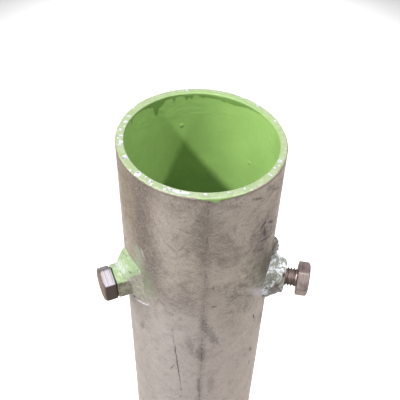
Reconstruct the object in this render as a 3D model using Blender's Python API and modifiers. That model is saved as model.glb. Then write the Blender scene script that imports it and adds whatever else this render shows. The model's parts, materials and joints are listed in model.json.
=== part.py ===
"""Steel safety bollard: an open-topped round post on a bolt-down base plate.

Two hexagon nuts are welded over holes in the wall near the top, one on each side. The
hexagon screw in each nut clamps a smaller tube that is slipped down into the post.

Metres, +Z up. The origin is the centre of the base plate's underside.
"""

import math
from collections import namedtuple

import bmesh
import bpy
from mathutils import Matrix, Vector

# Post: standard 76.1 x 3.6 mm tube, sawn a little out of square at the top.
POST_HEIGHT = 0.600
POST_DIAMETER = 0.0761
POST_WALL = 0.0036
POST_STEPS = 96
RIM_RISE_PER_X = -0.0288
RIM_RISE_PER_Y = 0.0108
SAW_ALLOWANCE = 0.004

# Base plate and its weld.
PLATE_SIDE = 0.200
PLATE_THICKNESS = 0.010
PLATE_CORNER_RADIUS = 0.012
ANCHOR_SPACING = 0.150
ANCHOR_HOLE = 0.014
DRAIN_HOLE = 0.020
BASE_WELD_LEG = 0.006

# M10 clamp screw and nut.
SCREW_DIAMETER = 0.010
SCREW_LENGTH = 0.020
SCREW_TIP_CHAMFER = 0.001
HEX_ACROSS_FLATS = 0.016
HEAD_HEIGHT = 0.0064
NUT_HEIGHT = 0.0081
NUT_BORE = 0.0102
WALL_HOLE = 0.0112

# Welds on the post's wall.
WELD_FILLET_STEPS = 6
WELD_STEPS = 40
TACK_DROP = 0.0615
TACK_RADII = (0.0052, 0.0046, 0.0026)

# Neighbouring solids keep this gap.
GAP = 0.0003
THROUGH = 0.02
ROUND_STEPS = 32
MERGE_DISTANCE = 0.00001

POST_RADIUS = POST_DIAMETER / 2
BORE_RADIUS = POST_RADIUS - POST_WALL
NUT_FACE = POST_RADIUS + GAP + NUT_HEIGHT
HEX_CORNER_RADIUS = HEX_ACROSS_FLATS / math.sqrt(3)

# foot and crown: the fillet's radius on the post and on the nut. height: crown above the post.
# up and across: how far the weld's middle lies from the screw's axis.
Weld = namedtuple("Weld", "foot crown height up across")
# drop: rim's centre down to the screw's axis. backed_out: the head's distance from its seat.
Clamp = namedtuple("Clamp", "side azimuth drop hex_turn backed_out weld")
CLAMPS = (
    Clamp(
        side="left",
        azimuth=math.radians(204.7),
        drop=0.0778,
        hex_turn=math.radians(9.6),
        backed_out=0.0,
        weld=Weld(foot=0.0152, crown=0.0093, height=0.0062, up=0.0015, across=-0.0015),
    ),
    Clamp(
        side="right",
        azimuth=math.radians(-9.6),
        drop=0.0835,
        hex_turn=math.radians(21.3),
        backed_out=0.00575,
        weld=Weld(foot=0.0145, crown=0.0106, height=0.0078, up=0.0015, across=0.001),
    ),
)


def clear_scene():
    for obj in list(bpy.data.objects):
        bpy.data.objects.remove(obj, do_unlink=True)


def make_collection(name):
    collection = bpy.data.collections.new(name)
    bpy.context.scene.collection.children.link(collection)
    return collection


def make_material(name, colour, metallic, roughness):
    material = bpy.data.materials.new(name)
    material.use_nodes = True
    shader = material.node_tree.nodes["Principled BSDF"]
    shader.inputs["Base Color"].default_value = (*colour, 1.0)
    shader.inputs["Metallic"].default_value = metallic
    shader.inputs["Roughness"].default_value = roughness
    material.diffuse_color = (*colour, 1.0)
    return material


def make_empty(name, matrix, collection):
    empty = bpy.data.objects.new(name, None)
    empty.empty_display_size = 0.02
    empty.matrix_world = matrix
    collection.objects.link(empty)
    return empty


def make_object(name, shape, parent, collection, material=None):
    """An object from a bmesh. Without a material it is a cutter, which isn't rendered."""
    mesh = bpy.data.meshes.new(name)
    shape.to_mesh(mesh)
    shape.free()
    obj = bpy.data.objects.new(name, mesh)
    collection.objects.link(obj)
    obj.parent = parent
    if material:
        mesh.materials.append(material)
    else:
        obj.hide_render = True
        obj.display_type = "WIRE"
    return obj


def prism(sides, radius, low, high, turn=0.0):
    """A closed prism along Z with its first corner at angle turn from +X."""
    shape = bmesh.new()
    bmesh.ops.create_cone(
        shape, cap_ends=True, segments=sides, radius1=radius, radius2=radius, depth=high - low
    )
    # create_cone puts its first corner on +Y.
    bmesh.ops.rotate(shape, verts=shape.verts, matrix=Matrix.Rotation(turn - math.pi / 2, 3, "Z"))
    bmesh.ops.translate(shape, verts=shape.verts, vec=(0, 0, (low + high) / 2))
    return shape


def profile(points, closed):
    """A (radius, height) outline in the XZ plane, for a Screw modifier."""
    shape = bmesh.new()
    corners = [shape.verts.new((radius, 0, height)) for radius, height in points]
    for first, second in zip(corners, corners[1:]):
        shape.edges.new((first, second))
    if closed:
        shape.edges.new((corners[-1], corners[0]))
    return shape


def turn_round(obj, steps):
    """Turns the profile round Z."""
    screw = obj.modifiers.new("Turn", "SCREW")
    screw.axis = "Z"
    screw.angle = 2 * math.pi
    screw.steps = steps
    screw.render_steps = steps
    screw.use_merge_vertices = True
    screw.merge_threshold = MERGE_DISTANCE
    screw.use_smooth_shade = False


def boolean(obj, operation, other):
    modifier = obj.modifiers.new(f"{operation.title()} {other.name}", "BOOLEAN")
    modifier.operation = operation
    modifier.solver = "EXACT"
    modifier.object = other


def rim_matrix():
    """The saw cut's plane: its origin is the rim's centre and its Z points out of the post."""
    outward = Vector((-RIM_RISE_PER_X, -RIM_RISE_PER_Y, 1)).normalized()
    return Matrix.Translation((0, 0, POST_HEIGHT)) @ outward.to_track_quat("Z", "Y").to_matrix().to_4x4()


def clamp_matrix(clamp):
    """A clamp's frame: Z out along the screw, X up, and Y = Z x X across."""
    outward = Vector((math.cos(clamp.azimuth), math.sin(clamp.azimuth), 0))
    up = Vector((0, 0, 1))
    axes = Matrix((up, outward.cross(up), outward)).transposed()
    return Matrix.Translation((0, 0, POST_HEIGHT - clamp.drop)) @ axes.to_4x4()


def make_post_tube(origin, parts, cutters, material, clamp_axes):
    bottom = PLATE_THICKNESS + GAP
    top = POST_HEIGHT + SAW_ALLOWANCE
    wall = ((POST_RADIUS, top), (POST_RADIUS, bottom), (BORE_RADIUS, bottom), (BORE_RADIUS, top))
    tube = make_object("post_tube", profile(wall, closed=True), origin, parts, material)
    turn_round(tube, POST_STEPS)

    waste = bmesh.new()
    bmesh.ops.create_cube(waste, size=2 * POST_DIAMETER)
    bmesh.ops.translate(waste, verts=waste.verts, vec=(0, 0, POST_DIAMETER))
    saw_cut = make_object("saw_cut", waste, None, cutters)
    saw_cut.matrix_world = rim_matrix()
    boolean(tube, "DIFFERENCE", saw_cut)

    for axis in clamp_axes:
        shape = prism(ROUND_STEPS, WALL_HOLE / 2, BORE_RADIUS - THROUGH, POST_RADIUS + THROUGH)
        hole = make_object(f"{axis.name}_wall_hole", shape, axis, cutters)
        boolean(tube, "DIFFERENCE", hole)
    return tube


def make_base_plate(origin, parts, cutters, material):
    shape = bmesh.new()
    bmesh.ops.create_cube(shape, size=1)
    bmesh.ops.scale(shape, verts=shape.verts, vec=(PLATE_SIDE, PLATE_SIDE, PLATE_THICKNESS))
    bmesh.ops.translate(shape, verts=shape.verts, vec=(0, 0, PLATE_THICKNESS / 2))
    upright = [edge for edge in shape.edges if edge.verts[0].co.xy == edge.verts[1].co.xy]
    bmesh.ops.bevel(
        shape, geom=upright, offset=PLATE_CORNER_RADIUS, segments=6, profile=0.5, affect="EDGES"
    )
    plate = make_object("base_plate", shape, origin, parts, material)

    spots = [(0, 0, DRAIN_HOLE)]
    for x_sign in (-1, 1):
        for y_sign in (-1, 1):
            spots.append((x_sign * ANCHOR_SPACING / 2, y_sign * ANCHOR_SPACING / 2, ANCHOR_HOLE))
    for number, (x, y, diameter) in enumerate(spots):
        shape = prism(ROUND_STEPS, diameter / 2, -THROUGH, PLATE_THICKNESS + THROUGH)
        hole = make_object(f"plate_hole_{number}", shape, origin, cutters)
        hole.location = (x, y, 0)
        boolean(plate, "DIFFERENCE", hole)
    return plate


def make_base_weld(origin, parts, material):
    """A fillet weld in the corner between the post and the plate."""
    inner = POST_RADIUS + GAP
    floor = PLATE_THICKNESS + GAP
    middle = BASE_WELD_LEG * 0.56
    outline = (
        (inner, floor + BASE_WELD_LEG),
        (inner + middle, floor + middle),
        (inner + BASE_WELD_LEG, floor),
        (inner, floor),
    )
    weld = make_object("base_weld", profile(outline, closed=True), origin, parts, material)
    turn_round(weld, POST_STEPS)
    return weld


def chamfer_cutter(name, low, high, axis, cutters):
    """Cuts the corners of a hexagon's outer end at 30 degrees when intersected with it."""
    flat_radius = HEX_ACROSS_FLATS / 2 * 0.97
    reach = HEX_CORNER_RADIUS * 1.2
    outline = (
        (0, high),
        (flat_radius, high),
        (reach, high - (reach - flat_radius) * math.tan(math.radians(30))),
        (reach, low - GAP),
        (0, low - GAP),
    )
    cutter = make_object(name, profile(outline, closed=False), axis, cutters)
    turn_round(cutter, ROUND_STEPS)
    return cutter


def make_nut(clamp, axis, parts, cutters, material):
    low = POST_RADIUS + GAP
    shape = prism(6, HEX_CORNER_RADIUS, low, NUT_FACE, clamp.hex_turn)
    nut = make_object(f"{clamp.side}_clamp_nut", shape, axis, parts, material)
    boolean(nut, "INTERSECT", chamfer_cutter(f"{nut.name}_chamfer", low, NUT_FACE, axis, cutters))
    shape = prism(ROUND_STEPS, NUT_BORE / 2, low - THROUGH, NUT_FACE + THROUGH)
    boolean(nut, "DIFFERENCE", make_object(f"{nut.name}_bore", shape, axis, cutters))
    return nut


def make_screw(clamp, axis, parts, cutters, material):
    seat = NUT_FACE + GAP + clamp.backed_out
    top = seat + HEAD_HEIGHT
    tip = seat - SCREW_LENGTH
    shape = prism(6, HEX_CORNER_RADIUS, seat, top, clamp.hex_turn)
    screw = make_object(f"{clamp.side}_clamp_screw", shape, axis, parts, material)
    boolean(screw, "INTERSECT", chamfer_cutter(f"{screw.name}_chamfer", seat, top, axis, cutters))
    radius = SCREW_DIAMETER / 2
    outline = (
        (0, seat + HEAD_HEIGHT / 2),
        (radius, seat + HEAD_HEIGHT / 2),
        (radius, tip + SCREW_TIP_CHAMFER),
        (radius - SCREW_TIP_CHAMFER, tip),
        (0, tip),
    )
    shank = make_object(f"{screw.name}_shank", profile(outline, closed=False), axis, cutters)
    turn_round(shank, ROUND_STEPS)
    boolean(screw, "UNION", shank)
    return screw


def make_post_clearance(origin, cutters):
    """The post with its gap, which welds on the outside are cut back from."""
    shape = prism(2 * POST_STEPS, POST_RADIUS + GAP, POST_HEIGHT / 2, POST_HEIGHT + THROUGH)
    return make_object("post_clearance", shape, origin, cutters)


def make_nut_weld(clamp, axis, parts, cutters, material, post_clearance):
    """A concave fillet from the post's surface up the sides of the nut."""
    form = clamp.weld
    low = POST_RADIUS - THROUGH
    outline = [(0, POST_RADIUS + form.height)]
    for step in range(WELD_FILLET_STEPS):
        angle = math.pi / 2 * step / WELD_FILLET_STEPS
        spread = (form.foot - form.crown) * (1 - math.cos(angle))
        outline.append((form.crown + spread, POST_RADIUS + form.height * (1 - math.sin(angle))))
    outline += [(form.foot, POST_RADIUS - form.height), (form.foot, low), (0, low)]
    weld = make_object(f"{clamp.side}_nut_weld", profile(outline, closed=False), axis, parts, material)
    weld.location = (form.up, form.across, 0)
    turn_round(weld, WELD_STEPS)
    boolean(weld, "DIFFERENCE", post_clearance)
    radius = HEX_CORNER_RADIUS + GAP * 2 / math.sqrt(3)
    shape = prism(6, radius, low - THROUGH, NUT_FACE + THROUGH, clamp.hex_turn)
    boolean(weld, "DIFFERENCE", make_object(f"{weld.name}_nut_clearance", shape, axis, cutters))
    return weld


def make_tack_weld(clamp, origin, parts, material, post_clearance):
    """A stray weld lump on the post's wall above the nut."""
    shape = bmesh.new()
    bmesh.ops.create_uvsphere(shape, u_segments=20, v_segments=12, radius=1)
    bmesh.ops.scale(shape, verts=shape.verts, vec=TACK_RADII)
    tack = make_object(f"{clamp.side}_tack_weld", shape, origin, parts, material)
    tack.matrix_world = (
        clamp_matrix(clamp._replace(drop=TACK_DROP)) @ Matrix.Translation((0, 0, POST_RADIUS))
    )
    boolean(tack, "DIFFERENCE", post_clearance)
    return tack


def shade_round_pieces(pieces):
    for piece in pieces:
        piece.data.shade_smooth()
        piece.data.set_sharp_from_angle(angle=math.radians(30))


def main():
    clear_scene()
    parts = make_collection("steel_safety_bollard")
    cutters = make_collection("cutters")
    zinc = make_material("galvanised_steel", (0.42, 0.39, 0.36), 0.85, 0.45)
    weld_metal = make_material("weld_metal", (0.50, 0.53, 0.47), 0.6, 0.4)
    screw_steel = make_material("screw_steel", (0.36, 0.32, 0.30), 0.9, 0.4)
    green = make_material("green_paint", (0.33, 0.56, 0.18), 0.0, 0.5)

    origin = make_empty("bollard_origin", Matrix.Identity(4), parts)
    axes = [make_empty(f"{clamp.side}_clamp_axis", clamp_matrix(clamp), parts) for clamp in CLAMPS]

    post_clearance = make_post_clearance(origin, cutters)
    make_post_tube(origin, parts, cutters, zinc, axes)
    make_base_plate(origin, parts, cutters, zinc)
    make_base_weld(origin, parts, weld_metal)
    for clamp, axis in zip(CLAMPS, axes):
        coat = green if clamp.side == "left" else weld_metal
        make_nut(clamp, axis, parts, cutters, coat)
        make_nut_weld(clamp, axis, parts, cutters, coat, post_clearance)
        make_screw(clamp, axis, parts, cutters, screw_steel)
    make_tack_weld(CLAMPS[1], origin, parts, weld_metal, post_clearance)
    shade_round_pieces([obj for obj in parts.objects if obj.type == "MESH"])


main()
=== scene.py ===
"""Looks of the steel safety bollard: a galvanised post with a hand-painted green socket,
two welded-on nuts and their clamp screws, on a bolt-down base plate.

Metres, +Z up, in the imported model's own frame. Sizes that the frame doesn't hold are named
below. Python sets every visible shape; the materials are procedural.
"""

import functools
import json
import math

import bmesh
import bpy
from mathutils import Matrix, Vector, noise


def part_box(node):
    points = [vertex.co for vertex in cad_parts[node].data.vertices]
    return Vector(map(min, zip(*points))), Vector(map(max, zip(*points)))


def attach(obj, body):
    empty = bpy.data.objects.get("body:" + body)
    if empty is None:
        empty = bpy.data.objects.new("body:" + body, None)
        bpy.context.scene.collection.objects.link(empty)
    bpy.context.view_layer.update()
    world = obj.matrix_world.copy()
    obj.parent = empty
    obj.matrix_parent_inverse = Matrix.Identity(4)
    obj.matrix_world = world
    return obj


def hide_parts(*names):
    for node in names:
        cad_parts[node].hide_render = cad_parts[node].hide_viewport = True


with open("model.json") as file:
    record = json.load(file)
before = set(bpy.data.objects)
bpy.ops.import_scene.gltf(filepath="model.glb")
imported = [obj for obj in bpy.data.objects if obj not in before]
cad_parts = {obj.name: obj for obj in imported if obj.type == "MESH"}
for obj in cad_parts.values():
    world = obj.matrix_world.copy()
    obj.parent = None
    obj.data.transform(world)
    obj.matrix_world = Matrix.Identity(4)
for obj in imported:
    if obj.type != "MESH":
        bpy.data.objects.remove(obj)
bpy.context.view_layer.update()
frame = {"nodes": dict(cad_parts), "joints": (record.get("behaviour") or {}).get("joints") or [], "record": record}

MM = 0.001
TURN = 2 * math.pi

# Post. The box gives its diameter, and the rim's mount gives the saw cut's plane.
POST_LOW, POST_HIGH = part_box("post_tube")
POST_RADIUS = (POST_HIGH.x - POST_LOW.x) / 2
WALL = 3.6 * MM
BORE_RADIUS = POST_RADIUS - WALL
MOUNTS = {mount["name"]: mount for mount in frame["record"]["mounts"]}
RIM_POINT = Vector(MOUNTS["socket_rim"]["pos_m"])
RIM_NORMAL = Vector(MOUNTS["socket_rim"]["axis"]).normalized()
RIM_HEIGHT = RIM_POINT.z + (RIM_NORMAL.x * RIM_POINT.x + RIM_NORMAL.y * RIM_POINT.y) / RIM_NORMAL.z
SEAM_AZIMUTH = math.radians(-84.7)

# M10 screw and nut.
PITCH = 1.5 * MM
MAJOR_RADIUS = 5.0 * MM
MINOR_RADIUS = 4.1 * MM
ACROSS_FLATS = 16.0 * MM
HEAD_HEIGHT = 6.4 * MM
NUT_BORE_RADIUS = 5.1 * MM
HEX_COLUMNS = 96
CHAMFER_SLOPE = math.tan(math.radians(30))
CLEARANCE_HOLE_RADIUS = 5.6 * MM
PAINTED_HOLE_RADIUS = 5.9 * MM

# Paint.
FILM = 0.14 * MM
PAINT_DEPTH = 200 * MM

# Camera: its distance in front of the post's axis, its height above the rim, how far it
# looks down, its roll, and its lens on a 36 mm sensor.
CAMERA_BACK = 0.21445
CAMERA_ABOVE_RIM = 0.16872
CAMERA_DOWN = math.radians(43.9145)
CAMERA_ROLL = math.radians(1.842)
CAMERA_LENS = 55.53


# ---------------------------------------------------------------- numbers and noise

def clamp01(value):
    return min(1.0, max(0.0, value))


def smooth(low, high, value):
    """0 below low, 1 above high, and a smooth step between."""
    share = clamp01((value - low) / (high - low))
    return share * share * (3 - 2 * share)


def mix(a, b, share):
    return a + (b - a) * share


def table(points, value):
    """Straight lines through (input, output) points sorted by input."""
    if value <= points[0][0]:
        return points[0][1]
    for (x0, y0), (x1, y1) in zip(points, points[1:]):
        if value <= x1:
            return mix(y0, y1, (value - x0) / (x1 - x0))
    return points[-1][1]


def rough_noise(point, size, octaves=3, seed=0):
    """About -1 to 1, with features of that size."""
    where = point / size + Vector((seed * 17.3, seed * 5.1, seed * 9.7))
    return noise.fractal(where, 0.6, 2.0, octaves, noise_basis="PERLIN_ORIGINAL")


def srgb(red, green, blue):
    """A colour as it looks on screen, 0 to 255, in the linear values that shaders take."""
    def linear(value):
        value /= 255
        return value / 12.92 if value < 0.04045 else ((value + 0.055) / 1.055) ** 2.4
    return (linear(red), linear(green), linear(blue), 1.0)


# ---------------------------------------------------------------- meshes

def finish_mesh(mesh, material, body, sharp_degrees):
    """Makes the object, shades it smooth up to that angle, and has it ride on its body."""
    mesh.materials.append(material)
    mesh.shade_smooth()
    mesh.set_sharp_from_angle(angle=math.radians(sharp_degrees))
    obj = bpy.data.objects.new(mesh.name, mesh)
    bpy.context.scene.collection.objects.link(obj)
    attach(obj, body)
    return obj


def skin(name, rings, loop=False, fields=None):
    """A mesh over rings of points. A loop joins the last ring to the first; otherwise the
    two end rings are capped. fields holds {attribute: rings of numbers}."""
    count = len(rings[0])
    points = [point for ring in rings for point in ring]
    faces = []
    pairs = list(range(len(rings) - 1))
    for row in pairs + ([len(rings) - 1] if loop else []):
        upper = (row + 1) % len(rings)
        for column in range(count):
            following = (column + 1) % count
            faces.append((
                row * count + column,
                row * count + following,
                upper * count + following,
                upper * count + column,
            ))
    if not loop:
        last = (len(rings) - 1) * count
        faces.append(tuple(reversed(range(count))))
        faces.append(tuple(range(last, last + count)))
    mesh = bpy.data.meshes.new(name)
    mesh.from_pydata(points, [], faces)
    for field, values in (fields or {}).items():
        layer = mesh.attributes.new(field, "FLOAT", "POINT")
        layer.data.foreach_set("value", [number for ring in values for number in ring])
    face_outwards(mesh)
    return mesh


def face_outwards(mesh):
    shape = bmesh.new()
    shape.from_mesh(mesh)
    bmesh.ops.recalc_face_normals(shape, faces=shape.faces)
    shape.to_mesh(mesh)
    shape.free()


def apply_modifiers(obj):
    """Replaces the object's mesh with what its modifiers make."""
    graph = bpy.context.evaluated_depsgraph_get()
    made = bpy.data.meshes.new_from_object(obj.evaluated_get(graph))
    obj.modifiers.clear()
    obj.data = made


def cut(obj, cutters):
    """Takes the cutters out of the object, then removes them."""
    for cutter in cutters:
        modifier = obj.modifiers.new("Cut", "BOOLEAN")
        modifier.operation = "DIFFERENCE"
        modifier.solver = "EXACT"
        modifier.object = cutter
    apply_modifiers(obj)
    for cutter in cutters:
        bpy.data.objects.remove(cutter, do_unlink=True)


def cylinder_between(start, end, radius, sides=48):
    """A closed cylinder for cutting."""
    shape = bmesh.new()
    run = end - start
    place = Matrix.Translation((start + end) / 2) @ run.to_track_quat("Z", "Y").to_matrix().to_4x4()
    bmesh.ops.create_cone(
        shape, cap_ends=True, segments=sides, radius1=radius, radius2=radius,
        depth=run.length, matrix=place,
    )
    mesh = bpy.data.meshes.new("cutter")
    shape.to_mesh(mesh)
    shape.free()
    obj = bpy.data.objects.new("cutter", mesh)
    bpy.context.scene.collection.objects.link(obj)
    return obj


# ---------------------------------------------------------------- the post's surface

def around(azimuth, radius, height=0.0):
    return Vector((radius * math.cos(azimuth), radius * math.sin(azimuth), height))


def rim_height(point):
    """Height of the saw cut over a point, with the saw's slight waves."""
    plane = RIM_HEIGHT - (RIM_NORMAL.x * point.x + RIM_NORMAL.y * point.y) / RIM_NORMAL.z
    flat = Vector((point.x, point.y, 0))
    return plane + 0.07 * MM * rough_noise(flat, 14 * MM, 2, seed=3)


# Rounding of the rim's two edges: azimuth in degrees, radius in mm.
INNER_EDGE = ((0, 1.1), (45, 1.0), (90, 0.85), (125, 0.35), (180, 0.3), (270, 0.35), (315, 0.5), (360, 1.1))
OUTER_EDGE = ((0, 0.7), (30, 0.45), (150, 0.45), (190, 0.8), (360, 0.7))


@functools.cache
def edge_radii(azimuth):
    """The rim's edges were knocked off unevenly with a file: inner and outer radius."""
    where = around(azimuth, POST_RADIUS)
    degrees = math.degrees(azimuth) % 360
    inner = table(INNER_EDGE, degrees) * MM * (1 + 0.3 * rough_noise(where, 5 * MM, 2, seed=5))
    outer = table(OUTER_EDGE, degrees) * MM * (1 + 0.4 * rough_noise(where, 5 * MM, 2, seed=6))
    return inner, outer


def rim_path(azimuth, along, lift):
    """A point on the wall's surface, lifted off it by lift. along is the way round the wall's
    section in metres: negative down inside the bore, 0 to WALL over the rim, and on down
    the outside. The rim's two edges are rounded."""
    inner, outer = edge_radii(azimuth)
    if along < -inner:
        radius, drop = BORE_RADIUS - lift, -along
    elif along < inner:
        angle = (along + inner) / (2 * inner) * math.pi / 2
        radius = BORE_RADIUS + inner - (inner + lift) * math.cos(angle)
        drop = inner - (inner + lift) * math.sin(angle)
    elif along < WALL - outer:
        radius, drop = BORE_RADIUS + along, -lift
    elif along < WALL + outer:
        angle = (along - WALL + outer) / (2 * outer) * math.pi / 2
        radius = POST_RADIUS - outer + (outer + lift) * math.sin(angle)
        drop = outer - (outer + lift) * math.cos(angle)
    else:
        radius, drop = POST_RADIUS + lift, along - WALL
    point = around(azimuth, radius)
    point.z = rim_height(point) - drop
    return point


# ---------------------------------------------------------------- clamps

class Clamp:
    """One screw's place, read from its joint and its CAD solid."""

    def __init__(self, side):
        self.side = side
        joint = next(j for j in frame["joints"] if j["name"] == f"{side}_screw_travel")
        self.out = Vector(joint["axis"]).normalized()
        self.up = Vector((0, 0, 1))
        self.across = self.out.cross(self.up)
        low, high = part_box(f"{side}_clamp_screw")
        self.origin = Vector((0, 0, (low.z + high.z) / 2))
        points = [v.co - self.origin for v in frame["nodes"][f"{side}_clamp_screw"].data.vertices]
        reach = [point.dot(self.out) for point in points]
        self.tip = min(reach)
        self.seat = max(reach) - HEAD_HEIGHT
        self.home_seat = self.seat + joint["range_m"][0]
        corner = max(points, key=lambda point: (point - self.out * point.dot(self.out)).length)
        self.hex_turn = math.atan2(corner.dot(self.across), corner.dot(self.up))
        nut = [v.co.dot(self.out) for v in frame["nodes"][f"{side}_clamp_nut"].data.vertices]
        self.nut_low, self.nut_high = min(nut), max(nut)

    def at(self, up, across, out):
        return self.origin + self.up * up + self.across * across + self.out * out

    def polar(self, radius, angle, out):
        return self.at(radius * math.cos(angle), radius * math.sin(angle), out)

    def on_post(self, radius, angle, height):
        """A point at that height above the post's wall, round the screw's axis."""
        side = radius * math.sin(angle)
        wall = math.sqrt(POST_RADIUS ** 2 - side ** 2)
        return self.polar(radius, angle, wall + height)

    def hex_radius(self, angle):
        """Radius of the hexagon at that angle, its corners slightly blunt."""
        turn = (angle - self.hex_turn) % (TURN / 6) - TURN / 12
        return min(ACROSS_FLATS / 2 / math.cos(turn), ACROSS_FLATS / math.sqrt(3) * 0.985)

    def chamfer(self, top, flat_radius):
        """The height of a chamfered end's edge, as a function of the angle."""
        return lambda angle: top - (self.hex_radius(angle) - flat_radius) * CHAMFER_SLOPE

    def hole_cutter(self, radius):
        """A cylinder through the post's wall, on the screw's axis."""
        past = 8 * MM
        return cylinder_between(
            self.at(0, 0, BORE_RADIUS - past), self.at(0, 0, POST_RADIUS + past), radius
        )


CLAMPS = {side: Clamp(side) for side in ("left", "right")}


def hex_ring(clamp, radius, out):
    """A ring round the screw's axis. radius and out are numbers or functions of the angle."""
    def value(measure, angle):
        return measure(angle) if callable(measure) else measure
    angles = [clamp.hex_turn + TURN * column / HEX_COLUMNS for column in range(HEX_COLUMNS)]
    return [clamp.polar(value(radius, angle), angle, value(out, angle)) for angle in angles]


def thread_radius(angle, out):
    """An ISO thread's flanks: crests an eighth of the pitch wide, roots a quarter."""
    phase = (out / PITCH - angle / TURN) % 1.0
    share = clamp01((min(phase, 1 - phase) - 1 / 16) / (3 / 8 - 1 / 16))
    return mix(MAJOR_RADIUS, MINOR_RADIUS, share)


def make_screw(clamp, material):
    """Threaded shank, washer face and chamfered hexagon head, from the tip outwards."""
    seat, tip, top = clamp.seat, clamp.tip, clamp.seat + HEAD_HEIGHT
    flat_radius = ACROSS_FLATS / 2 * 0.96
    edge = clamp.chamfer(top, flat_radius)
    blunt = 0.12 * MM
    end_gap = 0.1 * MM

    rings = [hex_ring(clamp, MINOR_RADIUS - 0.5 * MM, tip)]
    rows = int((seat - tip) / (PITCH / 10))
    for row in range(rows + 1):
        out = mix(tip + end_gap, seat - end_gap, row / rows)

        def shank(angle, out=out):
            run_out = smooth(0.4 * MM, 1.2 * MM, seat - out)
            radius = mix(MINOR_RADIUS + 0.45 * MM, thread_radius(angle, out), run_out)
            return min(radius, MINOR_RADIUS - 0.4 * MM + (out - tip))

        rings.append(hex_ring(clamp, shank, out))
    rings += [
        hex_ring(clamp, MINOR_RADIUS + 0.8 * MM, seat),
        hex_ring(clamp, ACROSS_FLATS / 2 - 0.5 * MM, seat),
        hex_ring(clamp, lambda angle: clamp.hex_radius(angle) - 0.2 * MM, seat + 0.25 * MM),
        hex_ring(clamp, clamp.hex_radius, seat + 0.5 * MM),
        hex_ring(clamp, clamp.hex_radius, lambda angle: edge(angle) - blunt),
        hex_ring(clamp, lambda angle: clamp.hex_radius(angle) - blunt, edge),
        hex_ring(clamp, flat_radius, top - 0.05 * MM),
        hex_ring(clamp, flat_radius - 0.25 * MM, top),
        hex_ring(clamp, flat_radius * 0.5, top - 0.03 * MM),
    ]
    mesh = skin(f"{clamp.side}_screw", rings)
    screw = finish_mesh(mesh, material, f"{clamp.side}_screw", 28)
    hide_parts(f"{clamp.side}_clamp_screw")


def make_nut(clamp, material):
    low, high = clamp.nut_low, clamp.nut_high
    flat_radius = ACROSS_FLATS / 2 * 0.97
    countersink = 0.6 * MM
    rings = [
        hex_ring(clamp, NUT_BORE_RADIUS, low),
        hex_ring(clamp, clamp.hex_radius, low),
        hex_ring(clamp, clamp.hex_radius, clamp.chamfer(high, flat_radius)),
        hex_ring(clamp, flat_radius, high),
        hex_ring(clamp, NUT_BORE_RADIUS + countersink, high),
        hex_ring(clamp, NUT_BORE_RADIUS, high - countersink),
    ]
    mesh = skin(f"{clamp.side}_nut", rings, loop=True)
    nut = finish_mesh(mesh, material, "bollard", 28)
    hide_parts(f"{clamp.side}_clamp_nut")


# ---------------------------------------------------------------- welds

WELD_COLUMNS = 144
WELD_ROWS = 30
WELD_ROOT = -0.5 * MM
WELD_SHARP = 60


def signed_degrees(angle):
    return (math.degrees(angle) + 180) % 360 - 180


def make_nut_weld(clamp, form, material):
    """A weld round a nut, from the inner edge to the foot. form gives, for an angle from
    straight up, the inner radius, the foot's radius, and its surface's height and tint."""
    angles = [TURN * column / WELD_COLUMNS for column in range(WELD_COLUMNS)]
    rings, tints = [], []
    for row in range(WELD_ROWS + 1):
        share = row / WELD_ROWS
        radii = [mix(form.inner(angle), form.foot(angle), share) for angle in angles]
        rings.append([
            clamp.on_post(radius, angle, form.height(angle, radius, share))
            for angle, radius in zip(angles, radii)
        ])
        tints.append([form.tint(angle, radius, share) for angle, radius in zip(angles, radii)])
    for share in (1.0, 0.5, 0.0):
        rings.append([
            clamp.on_post(mix(form.root(angle), form.foot(angle), share), angle, WELD_ROOT)
            for angle in angles
        ])
        tints.append([0.0] * WELD_COLUMNS)
    mesh = skin(f"{clamp.side}_weld", rings, loop=True, fields={"tint": tints})
    weld = finish_mesh(mesh, material, "bollard", WELD_SHARP)
    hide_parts(f"{clamp.side}_nut_weld")


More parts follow.
